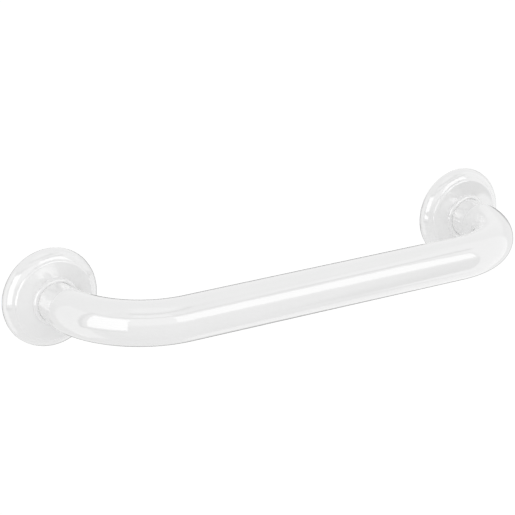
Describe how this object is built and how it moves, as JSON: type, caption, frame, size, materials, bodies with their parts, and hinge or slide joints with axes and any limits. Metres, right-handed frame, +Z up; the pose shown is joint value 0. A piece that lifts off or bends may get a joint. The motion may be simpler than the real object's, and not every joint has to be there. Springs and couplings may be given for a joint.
{
  "type": "grab bar",
  "caption": "Short wall-mounted bath grab bar: a bent tube in a glossy white grip sheath, with stepped round rosettes that hide the wall brackets.",
  "frame": {"origin": "on the wall plane, midway between the two legs, at the centre of the four wall screws", "axes": "+X along the bar, +Y into the wall, +Z up; the bar stands out of the wall towards -Y"},
  "size_m": [0.361, 0.087, 0.061],
  "materials": {
    "sheath_white": "gloss",
    "tube_white": "gloss white coat on steel",
    "rosette_white": "gloss",
    "bracket_steel": "turned",
    "screw_steel": "plain",
    "seal_rubber": "matte"
  },
  "bodies": {
    "root": {"core_tube": "tube_white", "grip_sheath": "sheath_white", "rosette_left": "rosette_white", "rosette_right": "rosette_white", "wall_bracket_left": "bracket_steel", "wall_bracket_right": "bracket_steel", "lock_screw_left": "screw_steel", "lock_screw_right": "screw_steel", "rosette_seal_left": "seal_rubber", "rosette_seal_right": "seal_rubber"}
  },
  "joints": []
}
